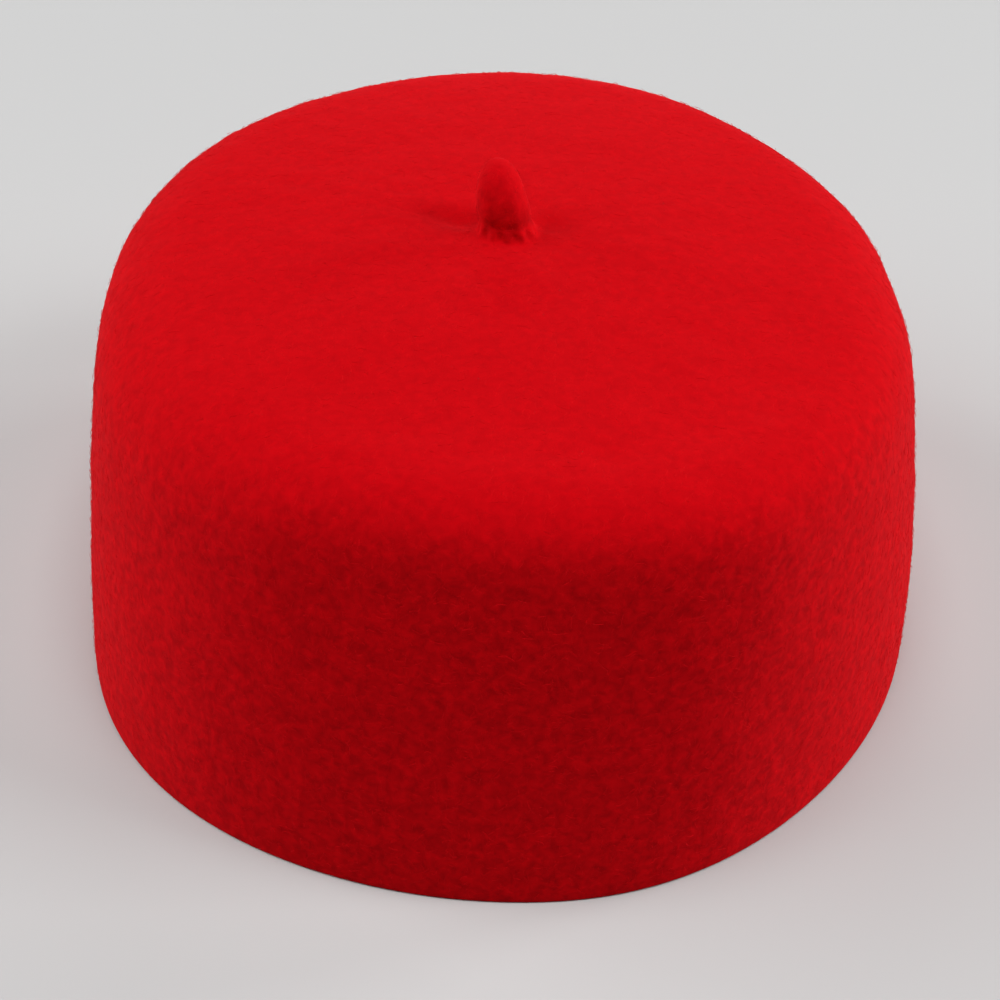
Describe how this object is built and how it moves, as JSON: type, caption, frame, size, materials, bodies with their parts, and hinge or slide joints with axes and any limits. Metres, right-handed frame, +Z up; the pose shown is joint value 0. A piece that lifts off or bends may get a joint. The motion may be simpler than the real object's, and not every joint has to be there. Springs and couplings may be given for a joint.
{
  "type": "fez hat",
  "caption": "Plain blocked felt fez with an upright wall, a soft rounded shoulder, a gently domed crown and a short felted stalk. It is hollow and open underneath.",
  "frame": {"origin": "midway between the hat's sides and between its front and back, on the surface that its rim stands on", "axes": "+Z up through the crown, -Y towards the front of the hat as the picture shows it, +X to the right in the picture"},
  "size_m": [0.1724, 0.2034, 0.0985],
  "materials": {
    "fulled_wool_felt": "matt red felt with a short fine nap"
  },
  "bodies": {
    "root": {"felt_cap": "fulled_wool_felt"}
  },
  "joints": []
}
